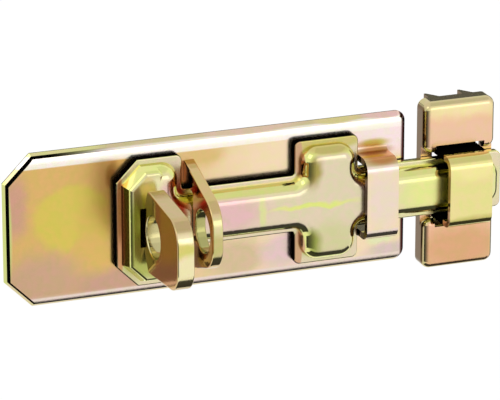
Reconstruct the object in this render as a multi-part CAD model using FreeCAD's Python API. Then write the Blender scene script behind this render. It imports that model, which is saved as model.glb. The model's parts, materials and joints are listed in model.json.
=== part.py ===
import FreeCAD, Part
import math
import os

# Padlock bolt of pressed steel, closed. Millimetres.
# X runs along the throw, Z is up, the wall is the plane Y = 0 and the front faces -Y.
# Each piece is drawn lying down (x along the bolt, y up, z out from the wall) and stood up at the end.

# Motion and the gaps that make it
travel = 28.5
stop_gap = 0.3
slide_gap = 0.9

# Base plate, a dished sheet
plate_width = 45.0
plate_sheet = 1.8
plate_dish = 0.8
plate_chamfer = 8.0
plate_corner_radius = 3.2
rim_run = 1.3
rim_land = 0.4
rim_wall = 1.2
rim_step = 0.35
roll_run = 2.4
roll_drop = 0.45
margin_left = 2.9
margin_right = 6.4

# Guide strap lanced out of the base plate
strap_width = 9.5
strap_sheet = 2.0
strap_clearance = 0.3
strap_side_clearance = 1.6
strap_shoulder_radius = 3.8
strap_root_radius = 1.4

# Sliding bolt, one pressing with a hat section
slide_sheet = 2.0
slide_rise = 4.3
flange_width = 1.5
flange_edge_radius = 0.5
flange_corner_radius = 1.8
flange_inner_radius = 0.8
boss_corner_radius = 5.0
boss_inner_radius = 2.7
bar_shoulder_radius = 4.1
head_length = 19.4
head_height = 37.5
head_chamfer = 6.3
head_corner_radius = 3.0
head_shoulder_radius = 1.4
head_wall_slope = 0.32
head_gap = 1.6
neck_width = 17.0
tee_length = 19.4
tee_height = 36.8
tongue_past_loop = 6.5

# Padlock eyes
eye_diameter = 12.0
eye_rim = 2.4
staple_thickness = 3.2
staple_web = 1.6
staple_leg_width = 7.0
staple_tip_width = 16.8
staple_tip_radius = 8.0
staple_clearance = 0.5
staple_arch_radius = 1.5
staple_tenon_shoulder = 1.0
pull_thickness = 5.0
pull_height = 28.6
pull_shoulder_width = 24.2
pull_front_width = 19.8
pull_shoulder_height = 3.6
pull_corner_radius = 7.0
pull_shoulder_radius = 1.0
pull_from_left = 6.5
pull_tenon_width = 11.4
pull_tenon_past = 1.0
pull_slot_spare = 0.9
eye_edge_radius = 0.5
tenon_fit = 0.05

# Least radius left inside a bend
least_bend = 0.2

# Screw holes hidden by the closed bolt and by the keeper's cover
screw_diameter = 4.5
screw_head_diameter = 7.6
screw_row_spacing = 27.0

# Keeper: a bent loop and the pressed cover over its feet
keeper_gap = 4.0
loop_width = 13.0
loop_sheet = 1.7
loop_clearance = 3.2
loop_side_clearance = 0.4
loop_shoulder_radius = 3.6
loop_foot_radius = 0.6
loop_foot_length = 11.2
loop_screw_inset = 5.4
cover_side = 3.5
cover_foot_gap = 2.0
cover_stand = 6.0
cover_sheet = 1.3
cover_edge_radius = 2.2
cover_corner_radius = 2.6
cover_tongue_gap = 1.3
cover_link_gap = 0.4
cover_window_gap = 1.0
cover_window_end_gap = 1.7
prong_width = 3.3
prong_tip_width = 0.6
prong_length = 3.6
prong_from_left = 3.5
prong_spacing = 10.4

# Places along the throw, from the plate's left end to the tongue's end
plate_length = (margin_left + travel + head_length + head_gap + staple_thickness + stop_gap + travel
                + tee_length + stop_gap + strap_width + margin_right)
plate_left = -plate_length / 2
plate_right = plate_length / 2
head_left = plate_left + margin_left + travel
head_right = head_left + head_length
pull_left = head_left + pull_from_left
pull_right = pull_left + pull_thickness
staple_left = head_right + head_gap
staple_right = staple_left + staple_thickness
tee_left = staple_right + stop_gap + travel
tee_right = tee_left + tee_length
strap_left = tee_right + stop_gap
strap_right = strap_left + strap_width
keeper_left = plate_right + keeper_gap
window_half = loop_width / 2 + cover_window_gap
cover_width = 2 * (window_half + cover_side)
keeper_x = keeper_left + cover_width / 2
tongue_end = keeper_x + loop_width / 2 + tongue_past_loop

# Heights above the wall
plate_stand = plate_sheet + plate_dish
slide_back = plate_stand + slide_gap
flange_front = slide_back + slide_sheet
boss_front = flange_front + slide_rise
arch_top = boss_front + staple_clearance
eye_level = arch_top + staple_web + eye_diameter / 2

# Half sizes across the bolt
neck_half = neck_width / 2
arch_half = neck_half + staple_clearance
strap_inner = neck_half + strap_side_clearance
strap_outer = strap_inner + strap_sheet
loop_inner = neck_half + loop_side_clearance
loop_outer = loop_inner + loop_sheet
loop_foot_end = loop_outer + loop_foot_length
cover_passage = neck_half + cover_tongue_gap
cover_half = loop_foot_end + cover_foot_gap + cover_sheet

TINY = 1e-4


def inset(corners, distance):
    """Move a counter-clockwise outline of (x, y, radius) corners inwards.

    Inner corners gain radius and outer ones lose it.
    """
    moved = []
    for i, (x, y, radius) in enumerate(corners):
        px, py, _ = corners[i - 1]
        nx, ny, _ = corners[(i + 1) % len(corners)]
        ax, ay = x - px, y - py
        bx, by = nx - x, ny - y
        la, lb = math.hypot(ax, ay), math.hypot(bx, by)
        ax, ay, bx, by = ax / la, ay / la, bx / lb, by / lb
        turn = ax * by - ay * bx
        scale = distance / (1 + ax * bx + ay * by)
        corner_x = x + scale * (-ay - by)
        corner_y = y + scale * (ax + bx)
        corner_radius = radius - distance if turn > 0 else radius + distance
        moved.append((corner_x, corner_y, max(corner_radius, 0.0)))
    return moved


def outline(corners, place):
    """Closed wire through (u, v, radius) corners with rounded corners.

    The place function turns (u, v) into a point.
    """
    starts, ends, middles = [], [], []
    for i, (u, v, radius) in enumerate(corners):
        here = FreeCAD.Vector(u, v, 0)
        last = corners[i - 1]
        following = corners[(i + 1) % len(corners)]
        before = FreeCAD.Vector(last[0], last[1], 0) - here
        after = FreeCAD.Vector(following[0], following[1], 0) - here
        before.normalize()
        after.normalize()
        half = before.getAngle(after) / 2
        reach = radius / math.tan(half)
        bisector = before + after
        starts.append(here + before * reach)
        ends.append(here + after * reach)
        if radius > TINY:
            bisector.normalize()
            middles.append(here + bisector * (radius / math.sin(half) - radius))
        else:
            middles.append(None)
    edges = []
    for i in range(len(corners)):
        if middles[i] is not None:
            arc = Part.Arc(place(starts[i]), place(middles[i]), place(ends[i]))
            edges.append(arc.toShape())
        next_start = starts[(i + 1) % len(corners)]
        if (next_start - ends[i]).Length > TINY:
            edges.append(Part.makeLine(place(ends[i]), place(next_start)))
    return Part.Wire(edges)


def flat_wire(corners, height):
    """Outline in the plane of the plate at a height above the wall."""
    return outline(corners, lambda p: FreeCAD.Vector(p.x, p.y, height))


def slab(corners, low, high):
    """Prism over a flat outline between two heights above the wall."""
    return Part.Face(flat_wire(corners, low)).extrude(FreeCAD.Vector(0, 0, high - low))


def section(corners, left, right):
    """Prism of a (y, z) outline that runs along the throw."""
    wire = outline(corners, lambda p: FreeCAD.Vector(left, p.x, p.y))
    return Part.Face(wire).extrude(FreeCAD.Vector(right - left, 0, 0))


def rectangle(left, low, right, high, radius=0.0):
    """Corners of an upright rectangle with one corner radius."""
    return [(left, low, radius), (right, low, radius), (right, high, radius), (left, high, radius)]


def mirrored(half):
    """Whole (y, z) outline from the corners of its y > 0 half."""
    return half + [(-u, v, radius) for u, v, radius in reversed(half)]


def edges_at(shape, height):
    """Edges that lie wholly at one height above the wall."""
    return [e for e in shape.Edges
            if abs(e.BoundBox.ZMin - height) < TINY and abs(e.BoundBox.ZMax - height) < TINY]


def edges_on_x(shape, x):
    """Edges that lie wholly on one plane across the throw."""
    return [e for e in shape.Edges
            if abs(e.BoundBox.XMin - x) < TINY and abs(e.BoundBox.XMax - x) < TINY]


def inner_bend(outer_radius, sheet):
    """Radius on the inside of a bend in a sheet."""
    return max(outer_radius - sheet, least_bend)


def pin(x, y, diameter, low, high):
    """Round pin square to the wall."""
    return Part.makeCylinder(diameter / 2, high - low, FreeCAD.Vector(x, y, low))


def screw_holes():
    """Countersunk holes of the base plate: one pair behind the head, one behind the cross piece."""
    sink = (screw_head_diameter - screw_diameter) / 2
    holes = []
    for x in ((head_left + head_right) / 2, (tee_left + tee_right) / 2):
        for y in (-screw_row_spacing / 2, screw_row_spacing / 2):
            cone = Part.makeCone(screw_diameter / 2, screw_head_diameter / 2, sink,
                                 FreeCAD.Vector(x, y, plate_stand - sink))
            holes.append(pin(x, y, screw_diameter, 0, plate_stand).fuse(cone))
    return holes


def tenon_span(slack):
    """(y, y) of the staple's upper tenon, midway along its leg, widened by a slack each side."""
    low = arch_half + staple_tenon_shoulder - slack
    high = arch_half + staple_leg_width - staple_tenon_shoulder + slack
    return low, high


def guide_strap():
    """Bridge over the tongue with rounded shoulders and roots that flare into the plate's face."""
    inside_top = boss_front + strap_clearance
    outside_top = inside_top + strap_sheet
    foot = strap_outer + 2 * strap_root_radius
    shape = mirrored([
        (strap_inner, inside_top, inner_bend(strap_shoulder_radius, strap_sheet)),
        (strap_inner, plate_dish, 0),
        (foot, plate_dish, 0),
        (foot, plate_stand, 0),
        (strap_outer, plate_stand, strap_root_radius),
        (strap_outer, outside_top, strap_shoulder_radius),
    ])
    return section(shape, strap_left, strap_right)


def base_plate():
    half = plate_width / 2
    corners = [
        (plate_left, -half + plate_chamfer, 0),
        (plate_left + plate_chamfer, -half, 0),
        (plate_right, -half, plate_corner_radius),
        (plate_right, half, plate_corner_radius),
        (plate_left + plate_chamfer, half, 0),
        (plate_left, half - plate_chamfer, 0),
    ]
    land = slab(corners, 0, rim_land)
    face_corners = inset(corners, rim_run)
    bevel_top = plate_stand - roll_drop - rim_step
    bevel = Part.makeLoft([flat_wire(corners, rim_land), flat_wire(face_corners, bevel_top)], True, True)
    plate = land.fuse([bevel, slab(face_corners, 0, plate_stand)])

    roll_radius = (roll_run ** 2 + roll_drop ** 2) / (2 * roll_drop)
    flat_half = half - rim_run - roll_run
    roll_end = flat_half + roll_radius
    roll_face = plate_stand - roll_radius

    def roll_point(side, angle):
        return FreeCAD.Vector(plate_left, side * (flat_half + roll_radius * math.sin(angle)),
                              roll_face + roll_radius * math.cos(angle))

    def roll_arc(side, first, last):
        angles = (first, (first + last) / 2, last)
        return Part.Arc(*[roll_point(side, a) for a in angles]).toShape()

    quarter = math.pi / 2
    edges = [
        roll_arc(-1, quarter, 0),
        Part.makeLine(roll_point(-1, 0), roll_point(1, 0)),
        roll_arc(1, 0, quarter),
        Part.makeLine(roll_point(1, quarter), FreeCAD.Vector(plate_left, roll_end, -roll_radius)),
        Part.makeLine(FreeCAD.Vector(plate_left, roll_end, -roll_radius),
                      FreeCAD.Vector(plate_left, -roll_end, -roll_radius)),
        Part.makeLine(FreeCAD.Vector(plate_left, -roll_end, -roll_radius), roll_point(-1, quarter)),
    ]
    rolled = Part.Face(Part.Wire(edges)).extrude(FreeCAD.Vector(plate_length, 0, 0))
    plate = plate.common(rolled)

    hollow = slab(inset(corners, rim_run + rim_wall), 0, plate_dish)
    window = slab(rectangle(strap_left, -strap_inner, strap_right, strap_inner), 0, plate_stand)
    plate = plate.cut(hollow).cut(window).fuse(guide_strap())

    low, high = tenon_span(tenon_fit)
    slot_left = staple_left - tenon_fit
    slot_right = staple_right + tenon_fit
    slots = [slab(rectangle(slot_left, y, slot_right, y + high - low), 0, plate_stand)
             for y in (low, -high)]
    return plate.cut(screw_holes() + slots).removeSplitter()


def head_corners(corner_radius):
    """Outline of the head's crisp part, counter-clockwise from its lower left.

    It ends short of the neck side, where the bar's softer shoulder takes over.
    """
    half = head_height / 2
    right = head_right - bar_shoulder_radius
    return [
        (head_left, -half + head_chamfer, 0),
        (head_left + head_chamfer, -half, 0),
        (right, -half, corner_radius),
        (right, half, corner_radius),
        (head_left + head_chamfer, half, 0),
        (head_left, half - head_chamfer, 0),
    ]


def slide_corners(corner_radius, inner_radius):
    """Outline of the whole bolt, counter-clockwise from the head's lower left."""
    head_half = head_height / 2
    tee_half = tee_height / 2
    lower = [
        (head_left, -head_half + head_chamfer, 0),
        (head_left + head_chamfer, -head_half, 0),
        (head_right, -head_half, corner_radius),
        (head_right, -neck_half, inner_radius),
        (tee_left, -neck_half, inner_radius),
        (tee_left, -tee_half, corner_radius),
        (tee_right, -tee_half, corner_radius),
        (tee_right, -neck_half, inner_radius),
        (tongue_end, -neck_half, corner_radius),
    ]
    return lower + [(x, -y, radius) for x, y, radius in reversed(lower)]


def crown_corners(corners, margin, lean):
    """Top outline of a boss: inset by a margin, with the head's walls leaning in further."""
    crown = []
    for corner, upright, leaning in zip(corners, inset(corners, margin), inset(corners, margin + lean)):
        at_head = corner[0] < head_right + TINY
        beside_neck = abs(corner[1]) < neck_half + TINY
        x = leaning[0] if at_head else upright[0]
        y, radius = leaning[1:] if at_head and not beside_neck else upright[1:]
        crown.append((x, y, radius))
    return crown


def boss(corners, margin, low, high, shoulder_radius):
    """Block inside an outline, between two heights, with rounded shoulders and leaning walls at the head."""
    foot = flat_wire(inset(corners, margin), low)
    crown = flat_wire(crown_corners(corners, margin, head_wall_slope * (high - low)), high)
    block = Part.makeLoft([foot, crown], True, True)
    return block.makeFillet(shoulder_radius, edges_at(block, high))


def slide_bolt():
    flange = slab(slide_corners(flange_corner_radius, flange_inner_radius), slide_back, flange_front)
    flange = flange.makeFillet(flange_edge_radius, edges_at(flange, flange_front))
    bar = slide_corners(boss_corner_radius + flange_width, boss_inner_radius - flange_width)
    head = head_corners(head_corner_radius + flange_width)
    raised = boss(bar, flange_width, flange_front, boss_front, bar_shoulder_radius)
    raised = raised.fuse(boss(head, flange_width, flange_front, boss_front, head_shoulder_radius))
    hollow = boss(bar, flange_width + slide_sheet, slide_back, boss_front - slide_sheet,
                  inner_bend(bar_shoulder_radius, slide_sheet))
    slot_left = pull_left - pull_slot_spare
    slot_right = pull_right + tenon_fit
    slot_half = pull_tenon_width / 2 + tenon_fit
    slot = slab(rectangle(slot_left, -slot_half, slot_right, slot_half), slide_back, boss_front)
    return flange.fuse(raised).cut([hollow, slot]).removeSplitter()


def eye_plate(half_section, left, right, foot):
    """Plate across the throw with a padlock hole and eased edges above its foot."""
    plate = section(mirrored(half_section), left, right)
    centre = FreeCAD.Vector(left, 0, eye_level)
    plate = plate.cut(Part.makeCylinder(eye_diameter / 2, right - left, centre, FreeCAD.Vector(1, 0, 0)))
    eased = [e for x in (left, right) for e in edges_on_x(plate, x) if e.BoundBox.ZMax > foot + TINY]
    return plate.makeFillet(eye_edge_radius, eased)


def lock_staple():
    """Eye on the base plate: it straddles the neck and narrows to a round tip."""
    tip = eye_level + eye_diameter / 2 + eye_rim
    half = [
        (arch_half + staple_leg_width, plate_stand, 0),
        (staple_tip_width / 2, tip, staple_tip_radius),
    ]
    staple = eye_plate(half, staple_left, staple_right, plate_stand)
    arch_corners = mirrored([(arch_half, 0, 0), (arch_half, arch_top, staple_arch_radius)])
    arch = section(arch_corners, staple_left, staple_right)
    low, high = tenon_span(0)
    tenons = [slab(rectangle(staple_left, y, staple_right, y + high - low), plate_dish, plate_stand)
              for y in (low, -high)]
    return staple.cut(arch).fuse(tenons).removeSplitter()


def bolt_pull():
    """Eye on the bolt's head: the finger pull, on a tenon that goes through the head's sheet."""
    tenon_half = pull_tenon_width / 2
    tenon_low = boss_front - slide_sheet - pull_tenon_past
    half = [
        (tenon_half, tenon_low, 0),
        (tenon_half, boss_front, 0),
        (pull_shoulder_width / 2, boss_front + pull_shoulder_height, pull_shoulder_radius),
        (pull_front_width / 2, boss_front + pull_height, pull_corner_radius),
    ]
    return eye_plate(half, pull_left, pull_right, boss_front)


def keeper_loop():
    inside_top = boss_front + loop_clearance
    half = [
        (loop_inner, inside_top, inner_bend(loop_shoulder_radius, loop_sheet)),
        (loop_inner, 0, loop_foot_radius + loop_sheet),
        (loop_foot_end, 0, 0),
        (loop_foot_end, loop_sheet, 0),
        (loop_outer, loop_sheet, loop_foot_radius),
        (loop_outer, inside_top + loop_sheet, loop_shoulder_radius),
    ]
    loop = section(mirrored(half), keeper_x - loop_width / 2, keeper_x + loop_width / 2)
    screw_y = loop_foot_end - loop_screw_inset
    return loop.cut([pin(keeper_x, side * screw_y, screw_diameter, 0, loop_sheet) for side in (-1, 1)])


def cover_pad(side, wall):
    """Raised pad above or below the tongue, its faces moved in by a wall."""
    low, high = sorted((side * (cover_passage + wall), side * (cover_half - wall)))
    left = keeper_left + wall
    right = keeper_left + cover_width - wall
    top = cover_stand - wall
    pad = slab(rectangle(left, low, right, high, inner_bend(cover_corner_radius, wall)), 0, top)
    return pad.makeFillet(inner_bend(cover_edge_radius, wall), edges_at(pad, top))


def cover_link(wall):
    """Low middle of the cover that passes behind the tongue, its faces moved in by a wall."""
    reach = cover_passage + cover_corner_radius
    top = slide_back - cover_link_gap - wall
    return slab(rectangle(keeper_left + wall, -reach, keeper_left + cover_width - wall, reach), 0, top)


def cover_prongs():
    """Pointed teeth on the back edges of the top and bottom walls, to drive into the frame."""
    prongs = []
    first = keeper_left + prong_from_left
    for side in (-1, 1):
        low, high = sorted((side * cover_half, side * (cover_half - cover_sheet)))
        for left in (first, first + prong_spacing):
            right = left + prong_width
            tooth = [(left, cover_sheet, 0), (right, cover_sheet, 0), (right, 0, 0),
                     (left + prong_tip_width, -prong_length, 0), (left, -prong_length, 0)]
            wire = outline(tooth, lambda p: FreeCAD.Vector(p.x, low, p.y))
            prongs.append(Part.Face(wire).extrude(FreeCAD.Vector(0, high - low, 0)))
    return prongs


def keeper_cover():
    window_reach = loop_outer + cover_window_end_gap
    outside = cover_link(0).fuse([cover_pad(-1, 0), cover_pad(1, 0)])
    inside = cover_link(cover_sheet).fuse([cover_pad(-1, cover_sheet), cover_pad(1, cover_sheet)])
    left = keeper_x - window_half
    right = keeper_x + window_half
    window = slab(rectangle(left, -window_reach, right, window_reach), 0, cover_stand)
    return outside.cut([inside, window]).fuse(cover_prongs()).removeSplitter()


def stand_up(shape):
    """Turn a piece drawn lying down so that it stands against the wall."""
    shape.rotate(FreeCAD.Vector(0, 0, 0), FreeCAD.Vector(1, 0, 0), 90)
    return shape


def main():
    os.makedirs("parts", exist_ok=True)
    pieces = {
        "base_plate": base_plate(),
        "slide_bolt": slide_bolt(),
        "lock_staple": lock_staple(),
        "bolt_pull": bolt_pull(),
        "keeper_loop": keeper_loop(),
        "keeper_cover": keeper_cover(),
    }
    for name, shape in pieces.items():
        print(name, shape.isValid(), len(shape.Solids), round(shape.Volume, 1))
        stand_up(shape).exportStep(f"parts/{name}.step")


main()
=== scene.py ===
import json
import math

import bpy
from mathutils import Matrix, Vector

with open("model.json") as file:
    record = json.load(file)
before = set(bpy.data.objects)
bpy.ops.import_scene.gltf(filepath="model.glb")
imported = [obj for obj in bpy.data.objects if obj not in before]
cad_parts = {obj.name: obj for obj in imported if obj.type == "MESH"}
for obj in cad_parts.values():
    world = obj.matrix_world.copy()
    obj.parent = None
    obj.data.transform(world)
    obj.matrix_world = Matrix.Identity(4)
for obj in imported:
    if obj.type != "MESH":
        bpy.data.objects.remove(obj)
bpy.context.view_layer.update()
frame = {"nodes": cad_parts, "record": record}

# Padbolt of pressed steel with a bright yellow zinc finish, closed, on a plain white studio set.
# Metres; X runs along the throw, Z is up and the front faces -Y.

MM = 0.001
cad = frame["nodes"]

# Camera at the photograph's viewing angle
camera_azimuth = -20.4
camera_elevation = 19.5
camera_distance = 1103 * MM
camera_lens = 281.8
aim_right = 12.3 * MM
aim_up = 2.2 * MM

# Studio set: white paper in a white room
white = "#FFFFFF"
paper_white = "#F2F2F2"
floor_drop = 300 * MM
floor_size = 6.0
floor_glow = 0.49
world_light = 0.6

# Panels that the metal mirrors: name, direction from the bolt, distance, width, height, brightness
near = 0.5
far_panels = (
    ("front_softbox", (0.33, -0.93, 0.2), 1.6, 1.3, 0.6, 1.6),
    ("top_left_softbox", (-0.66, -0.36, 0.66), 1.2, 0.6, 0.5, 1.8),
    ("top_sheet", (0.33, -0.15, 0.93), 1.2, 1.2, 0.9, 0.85),
    ("back_card", (0.33, 0.9, 0.2), 1.3, 2.4, 0.5, 0.14),
)
side_cards = (
    ("left_card", (-0.83, 0.56, -0.33), near, 0.12, 0.3, 0.0),
    ("right_card", (0.92, 0.36, -0.33), near, 0.22, 0.3, 0.06),
)

# Dark card that lies below the bolt
low_card_centre = (0.107, -0.06, -0.25)
low_card_half_width = 0.223
low_card_half_depth = 0.12
low_card_brightness = 0.06

# Graded shade on the left, as strips that darken step by step from the front to the side
shade_start = 4.0
shade_step = 8.0
shade_fall = -0.35
shade_height = 0.46
shade_grades = (0.86, 0.72, 0.58, 0.45, 0.32, 0.22, 0.15, 0.1, 0.06, 0.03)

# Yellow passivation film: the sizes of its clouds, how far they stray, how fine they are and how softly
# they end
film_drift = 7.0 * MM
film_drift_reach = 1.1 * MM
drift_detail = 2.0
film_mottle = 2.2 * MM
mottle_detail = 3.0
mottle_spread = (0.35, 0.65)
mottle_tints = ("#FFF6F6", "#F8F9EA")
back_drift = 26.0 * MM
back_detail = 1.0
back_spread = (0.36, 0.64)
noise_middle = 0.5
noise_gain = 4.0
soft_core = 0.35
oval_rim = 1.1

# Where one film gives way to the next, by how squarely a surface looks along an axis, from 0 to 1
roll_turn = (0.06, 0.16)
bend_turn = (0.72, 0.94)
flank_turn = (0.8, 0.95)
back_turn = (0.2, 0.6)
front_turn = (0.7, 0.9)
flat_turn = (0.9, 0.99)

# Plating under the film, and the painted shade on edges and inside hollows
plating_ripple = 5.0 * MM
plating_ripple_height = 0.03 * MM
ripple_detail = 2.0
ripple_strength = 0.35
flat_roughness = 0.24
bend_roughness = 0.10
# Painted shade: black on sheared edges, creases and the keeper loop's legs
painted_shade_black = "#080605"
# Painted shade: dark films inside the hollow bolt and keeper cover
painted_inside_shade = ("#3A2C1A", "#443822")

# Padlock eyes, from the mount that runs through both of them.
# The film of their walls ends across the eased edge, between two radii.
eyes = next(mount for mount in frame["record"]["mounts"] if mount["name"] == "padlock_eyes")
eye_depth = eyes["pos_m"][1]
eye_radius = eyes["dims"]["r_mm"] * MM
eye_film_end = (eye_radius + 0.1 * MM, eye_radius + 0.4 * MM)

# Each pressing's film: the colour of its ground, of its bends and of its sides that face along the throw,
# and the patches on its front, in millimetres: tint, x, z, half width, half height and, where a patch ends
# crisply, the share of its core
films = {
    # The base plate's dark brown flank is painted shade on its sideways walls
    "base_plate": ("#E2BC76", "#DCD0A6", "#5A3E30", [
        ("#F6E2C0", 45, 0, 72, 90),
        ("#DECC64", -44, 2, 8, 9.5, 0.75),
        ("#DECC66", -38.5, 6, 8.5, 7.5, 0.7),
        ("#DEC468", -34.5, -1, 6, 9, 0.6),
        ("#E2BF70", -35.3, -10.5, 6, 8, 0.75),
        # Painted shade: brown on the plate beside the top left of the bolt's head
        ("#BE9050", -28.4, 12, 2.4, 8),
        ("#D6A890", -58, 8, 6, 12),
        ("#D2AE90", -50, -15, 16, 11),
        ("#CFA892", -28, -18, 18, 6),
        ("#E0C284", -2, 17, 9, 5),
        ("#DAC4A2", 8, -15, 14, 8),
        ("#E6CCCC", 22, -15, 9, 8),
        ("#FBEAEC", 52, 16, 14, 9),
        ("#EFE0D0", 49, 0, 7, 12),
        ("#E7ECC0", 52, -14, 5, 3),
        ("#DDCBC6", 55, -19, 10, 4),
    ]),
    "slide_bolt": ("#E3D8BC", "#E6EA98", "#B9B868", [
        ("#DCDC98", -19, 0, 12, 22),
        ("#A9B158", -24, -2, 3.6, 18),
        ("#B4BC66", -19, -12, 10, 4),
        ("#F2EEC0", -18, 12, 8, 3),
        ("#EFCDC6", -14, 9, 5, 5),
        # Painted reflection: dark red on the right side of the head, towards the neck
        ("#A8402C", -10.5, 6, 2.6, 7),
        ("#E6C2C2", 4, 1, 13, 7),
        ("#E0E2A6", 13.5, 0, 1.3, 6),
        ("#E3EC8C", 29, 0.4, 16, 1.1),
        ("#D8D4A8", 33, -12, 12, 9),
        # Painted shade: olive on the tee's left shoulder, above and below the neck
        ("#ACA258", 28, 11, 4.5, 7),
        ("#A0A858", 28, -11, 4.5, 6),
        ("#EAEE9E", 70, 0, 22, 12),
    ]),
    "bolt_pull": ("#F6ECC2", "#C8B484", "#D9AE72", [
        ("#DCD67C", -20, 3, 6, 3),
        ("#EFDDA6", -20, -9, 6, 5),
    ]),
    "lock_staple": ("#E0DAA6", "#D2BC86", "#B0724A", [
        ("#D9C4A0", -6, 12, 6, 7),
        ("#CBC384", -6, -2, 6, 5),
    ]),
    "keeper_loop": ("#ECE49E", "#DCD68C", "#B48C58", [
        ("#F6EEA6", 75, 8, 14, 5),
        ("#CFC77A", 75, -9, 14, 3),
    ]),
    "keeper_cover": ("#F0C6A2", "#CFC494", "#6E5634", [
        ("#F8E8B4", 75, 24, 20, 6),
        ("#F0CAAC", 75, 15, 20, 6),
        ("#E0B086", 75, -19, 20, 9),
    ]),
}

# What else marks a pressing.
# Edge: depths in front of the wall of the painted shade on the plate's crease, the bolt's sheared rim and
# the loop's legs.
# Bright: oval where that painted shade fades. Border: patches that also cover the bends.
# Back: two films that drift into each other on what faces the wall; inside hollow pressings they are
# painted shade.
# Roll: film on the rolled borders. Bore: film inside the padlock eye.
marks = {
    "base_plate": {
        "edge": (1.15 * MM, 2.3 * MM),
        "bright": (70, 24, 108, 12, 0.9),
        "roll": "#F0E0D8",
        "back": ("#DDC478", "#DDB49C"),
        "border": [
            # Painted highlight: near-white band along the top border of the plate
            ("#FFFAF2", 0, 20, 400, 1.7, 0.8),
            ("#E8E6A6", -44, 22.3, 14, 1.2, 0.7),
            ("#EBD3BD", 13, 22.3, 16, 1.2, 0.7),
            ("#E6DCA2", 39, 22.3, 8, 1.2, 0.7),
            ("#F2CFCB", 54, 22.3, 8, 1.2, 0.7),
            ("#D2DA8E", -60.4, 0, 2.4, 20, 0.8),
            # Painted shade: dark red-brown down the plate's right-hand rim
            ("#4A2422", 60.6, 0, 2.6, 80, 0.85),
            ("#D0BE66", 49.6, 14.3, 6, 1.7),
            ("#C48E58", 49.6, 12, 7, 2.0),
        ],
    },
    "slide_bolt": {
        "edge": (3.1 * MM, 5.35 * MM),
        "bright": (75, 0, 32, 60, 0.9),
        "back": painted_inside_shade,
        "border": [
            ("#D09C70", -27.5, 0, 1.2, 16, 0.8),
            ("#CFC67C", 35, 18, 12, 3.6, 0.7),
            ("#CFAA86", 25.6, 14, 1.3, 6, 0.8),
            ("#CFAA86", 25.6, -14, 1.3, 6, 0.8),
        ],
    },
    "bolt_pull": {"bore": "#CCC28C"},
    "lock_staple": {"bore": "#B4B070"},
    "keeper_loop": {"edge": (0, 9.5 * MM)},
    "keeper_cover": {"back": painted_inside_shade},
}


def linear(colour):
    """Linear RGBA of an sRGB hex colour."""
    channels = [int(colour[i:i + 2], 16) / 255 for i in (1, 3, 5)]
    return [c / 12.92 if c <= 0.04045 else ((c + 0.055) / 1.055) ** 2.4 for c in channels] + [1.0]


def add(tree, kind, inputs=(), **settings):
    """Add a node; inputs gives each named or numbered socket a value or another node's output."""
    made = tree.nodes.new("ShaderNode" + kind)
    for name, value in settings.items():
        setattr(made, name, value)
    for socket, value in dict(inputs).items():
        if isinstance(value, bpy.types.NodeSocket):
            tree.links.new(value, made.inputs[socket])
        else:
            made.inputs[socket].default_value = value
    return made


def new_material(name):
    material = bpy.data.materials.new(name)
    material.use_nodes = True
    material.node_tree.nodes.clear()
    return material, material.node_tree


def mixed(tree, share, low, high, how="MIX"):
    """Colour between two colours, or node outputs, by a share, or their product."""
    mix = add(tree, "Mix", {0: share, 6: low, 7: high}, data_type="RGBA", blend_type=how)
    return mix.outputs[2]


def cloud(tree, place, size, detail, low, high):
    """Soft noise cloud of one size, stretched to 0 below low and 1 above high."""
    noise = add(tree, "TexNoise", {"Vector": place, "Scale": 1 / size, "Detail": detail})
    spread = add(tree, "MapRange", {"Value": noise.outputs["Fac"], "From Min": low, "From Max": high},
                 interpolation_type="SMOOTHSTEP")
    return spread.outputs["Result"]


def drifted(tree, place, size, reach):
    """Coordinates pushed about by noise, so that a patch gets a wandering edge."""
    noise = add(tree, "TexNoise", {"Vector": place, "Scale": 1 / size, "Detail": drift_detail})
    push = add(tree, "VectorMath", {0: noise.outputs["Color"], 1: [noise_middle] * 3},
               operation="SUBTRACT")
    moved = add(tree, "VectorMath", {0: push.outputs[0], 1: [noise_gain * reach] * 3, 2: place},
                operation="MULTIPLY_ADD")
    return moved.outputs[0]


def oval(tree, place, x, z, reach_x, reach_z, core=soft_core):
    """Share that is 1 in the core of an oval on the front, in millimetres, and 0 outside the oval."""
    centred = add(tree, "VectorMath", {0: place, 1: (x * MM, 0, z * MM)}, operation="SUBTRACT")
    shrink = (1 / (reach_x * MM), 0, 1 / (reach_z * MM))
    scaled = add(tree, "VectorMath", {0: centred.outputs[0], 1: shrink}, operation="MULTIPLY")
    reach = add(tree, "VectorMath", {0: scaled.outputs[0]}, operation="LENGTH")
    share = add(tree, "MapRange", {"Value": reach.outputs["Value"], "From Min": core, "From Max": oval_rim,
                                   "To Min": 1.0, "To Max": 0.0}, interpolation_type="SMOOTHSTEP")
    return share.outputs["Result"]


def patched(tree, place, colour, patches):
    """Lay patches of film, each a tint and its oval, over a colour."""
    for tint, *where in patches:
        colour = mixed(tree, oval(tree, place, *where), colour, linear(tint))
    return colour


def facing(tree, axis, low, high, either=True):
    """Share that grows from 0 to 1 as a surface turns to look along an axis, or also against it."""
    normal = add(tree, "SeparateXYZ", {0: add(tree, "TexCoord").outputs["Normal"]})
    turn = normal.outputs[axis]
    if either:
        turn = add(tree, "Math", {0: turn}, operation="ABSOLUTE").outputs[0]
    share = add(tree, "MapRange", {"Value": turn, "From Min": low, "From Max": high},
                interpolation_type="SMOOTHSTEP")
    return share.outputs["Result"]


def in_bore(tree, place):
    """Share that is 1 on the wall of the padlock eye and 0 from its eased edge outwards."""
    low, high = eye_film_end
    centred = add(tree, "VectorMath", {0: place, 1: (0, eye_depth, 0)}, operation="SUBTRACT")
    across = add(tree, "VectorMath", {0: centred.outputs[0], 1: (0, 1, 1)}, operation="MULTIPLY")
    reach = add(tree, "VectorMath", {0: across.outputs[0]}, operation="LENGTH")
    share = add(tree, "MapRange", {"Value": reach.outputs["Value"], "From Min": low, "From Max": high,
                                   "To Min": 1.0, "To Max": 0.0})
    return share.outputs["Result"]


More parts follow.
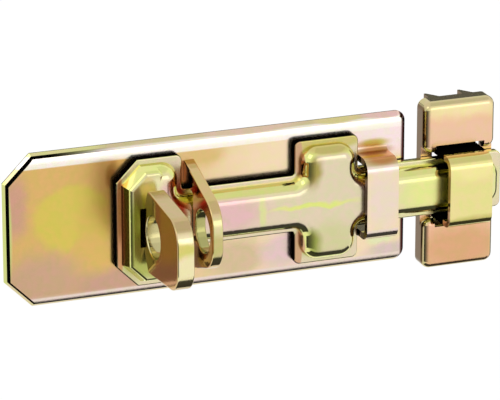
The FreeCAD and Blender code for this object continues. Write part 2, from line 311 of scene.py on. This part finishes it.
def edge_painted_shade(tree, place, low, high, bright):
    """Share of painted shade: 1 on an edge between two depths in front of the wall, spared where it faces
    front or back and inside the bright oval.
    """
    depth = add(tree, "SeparateXYZ", {0: place}).outputs["Y"]
    inside = add(tree, "Math", {0: depth, 1: -(low + high) / 2, 2: (high - low) / 2}, operation="COMPARE")
    painted_shade = inside.outputs[0]
    spared = [facing(tree, "Y", *front_turn)]
    if bright:
        spared.append(oval(tree, place, *bright))
    for share in spared:
        painted_shade = add(tree, "Math", {0: painted_shade, 1: share}, operation="SUBTRACT", use_clamp=True).outputs[0]
    return painted_shade


# Yellow passivated zinc: bright electroplate under a thin chromate film, which tints the metal yellow,
# pink and green in soft clouds. The rolled faces of the sheet keep a satin look. The bends, which the
# press burnished, stay close to a mirror. Sheared edges, creases and hollows get painted shade, black and
# dull.
def yellow_zinc(name, ground, bend, flank, patches, border=(), edge=None, bright=None, back=None,
                roll=None, bore=None):
    material, tree = new_material(name)
    place = add(tree, "TexCoord").outputs["Object"]
    moved = drifted(tree, place, film_drift, film_drift_reach)
    colour = patched(tree, moved, linear(ground), patches)
    if roll:
        colour = mixed(tree, facing(tree, "Z", *roll_turn), colour, linear(roll))
    colour = mixed(tree, facing(tree, "Y", *bend_turn), linear(bend), colour)
    colour = mixed(tree, facing(tree, "X", *flank_turn), colour, linear(flank))
    colour = patched(tree, place, colour, border)
    if back:
        # Inside hollow pressings these back films are painted shade
        drift = cloud(tree, moved, back_drift, back_detail, *back_spread)
        film = mixed(tree, drift, *[linear(tint) for tint in back])
        colour = mixed(tree, facing(tree, "Y", *back_turn, either=False), colour, film)
    fleck = cloud(tree, moved, film_mottle, mottle_detail, *mottle_spread)
    mottle = mixed(tree, fleck, *[linear(tint) for tint in mottle_tints])
    colour = mixed(tree, 1.0, colour, mottle, how="MULTIPLY")
    metal = 1.0
    # Painted shade: black, not metal, on the edge between the given depths
    if edge:
        painted_shade = edge_painted_shade(tree, place, *edge, bright)
        colour = mixed(tree, painted_shade, colour, linear(painted_shade_black))
        metal = add(tree, "Math", {0: 1.0, 1: painted_shade}, operation="SUBTRACT").outputs[0]
    if bore:
        colour = mixed(tree, in_bore(tree, place), colour, linear(bore))
    rough = add(tree, "MapRange", {"Value": facing(tree, "Y", *flat_turn),
                                   "To Min": bend_roughness, "To Max": flat_roughness})
    ripple = add(tree, "TexNoise", {"Vector": place, "Scale": 1 / plating_ripple, "Detail": ripple_detail})
    bump = add(tree, "Bump", {"Strength": ripple_strength, "Distance": plating_ripple_height,
                              "Height": ripple.outputs["Fac"]})
    shader = add(tree, "BsdfPrincipled", {
        "Base Color": colour,
        "Metallic": metal,
        "Specular IOR Level": 0.0,
        "Roughness": rough.outputs["Result"],
        "Normal": bump.outputs["Normal"],
    })
    add(tree, "OutputMaterial", {"Surface": shader.outputs["BSDF"]})
    return material


def glow(name, brightness):
    """Even panel, from a black card at 0 to a lit softbox above 1."""
    material, tree = new_material(name)
    light = add(tree, "Emission", {"Color": linear(white), "Strength": brightness})
    add(tree, "OutputMaterial", {"Surface": light.outputs["Emission"]})
    return material


def sheet(name, centre, across, up, material):
    """Flat stage sheet about a centre, spanned by two half-edge vectors."""
    mesh = bpy.data.meshes.new(name)
    centre, across, up = Vector(centre), Vector(across), Vector(up)
    corners = [centre - across - up, centre + across - up, centre + across + up, centre - across + up]
    mesh.from_pydata(corners, [], [(0, 1, 2, 3)])
    mesh.materials.append(material)
    piece = bpy.data.objects.new(name, mesh)
    bpy.context.scene.collection.objects.link(piece)
    return piece


def show_in_metal_only(piece):
    piece.visible_camera = False
    piece.visible_diffuse = False
    piece.visible_shadow = False


def panel(name, direction, distance, width, height, brightness):
    """Studio panel that faces the bolt from a direction and shows only in its reflections."""
    out = Vector(direction).normalized()
    across = out.cross(Vector((0, 0, 1))).normalized()
    up = across.cross(out)
    made = sheet(name, out * distance, across * width / 2, up * height / 2, glow(name, brightness))
    show_in_metal_only(made)


def seen_rays(tree):
    """Share that is 1 for the rays that show the set: to the camera, in metal and through glass."""
    path = add(tree, "LightPath")
    seen = path.outputs["Is Camera Ray"]
    for kind in ("Is Glossy Ray", "Is Transmission Ray"):
        seen = add(tree, "Math", {0: seen, 1: path.outputs[kind]}, operation="MAXIMUM").outputs[0]
    return seen


def white_world():
    """White to the camera and to reflections, softer as a source of light."""
    world = bpy.data.worlds.new("studio_white")
    bpy.context.scene.world = world
    world.use_nodes = True
    tree = world.node_tree
    tree.nodes.clear()
    strength = add(tree, "MapRange", {"Value": seen_rays(tree), "To Min": world_light, "To Max": 1.0})
    sky = add(tree, "Background", {"Color": linear(white), "Strength": strength.outputs["Result"]})
    add(tree, "OutputWorld", {"Surface": sky.outputs["Background"]})


# White paper sweep: matt and plain. A glow takes it up to white where it is seen and leaves its shadows.
def white_paper(name):
    material, tree = new_material(name)
    matt = add(tree, "BsdfDiffuse", {"Color": linear(paper_white)})
    strength = add(tree, "Math", {0: seen_rays(tree), 1: floor_glow}, operation="MULTIPLY")
    light = add(tree, "Emission", {"Color": linear(white), "Strength": strength.outputs[0]})
    both = add(tree, "AddShader", {0: matt.outputs[0], 1: light.outputs[0]})
    add(tree, "OutputMaterial", {"Surface": both.outputs[0]})
    return material


def shade_strips():
    """Strips side by side on an arc about the bolt, each darker than the one before."""
    width = near * math.radians(shade_step)
    for i, brightness in enumerate(shade_grades):
        turn = math.radians(shade_start - shade_step * i)
        direction = (math.sin(turn), -math.cos(turn), shade_fall)
        panel(f"shade_{i}", direction, near, width, shade_height, brightness)


def studio():
    white_world()
    sheet("floor", (0, 0, -floor_drop), (floor_size, 0, 0), (0, floor_size, 0), white_paper("white_paper"))
    for settings in far_panels:
        panel(*settings)
    shade_strips()
    for settings in side_cards:
        panel(*settings)
    low_card = sheet("low_card", low_card_centre, (low_card_half_width, 0, 0), (0, low_card_half_depth, 0),
                     glow("low_card", low_card_brightness))
    show_in_metal_only(low_card)


def camera():
    lens = bpy.data.cameras.new("camera")
    lens.lens = camera_lens
    made = bpy.data.objects.new("camera", lens)
    bpy.context.scene.collection.objects.link(made)
    azimuth, elevation = math.radians(camera_azimuth), math.radians(camera_elevation)
    back = Vector((math.sin(azimuth) * math.cos(elevation),
                   -math.cos(azimuth) * math.cos(elevation),
                   math.sin(elevation)))
    turn = (-back).to_track_quat("-Z", "Y")
    aim = turn @ Vector((aim_right, aim_up, 0))
    made.location = aim + back * camera_distance
    made.rotation_mode = "QUATERNION"
    made.rotation_quaternion = turn
    bpy.context.scene.camera = made


def dress():
    for node, film in films.items():
        cad[node].material_slots[0].material = yellow_zinc("yellow_zinc_" + node, *film, **marks[node])


dress()
studio()
camera()
bpy.context.scene.view_settings.view_transform = "Standard"
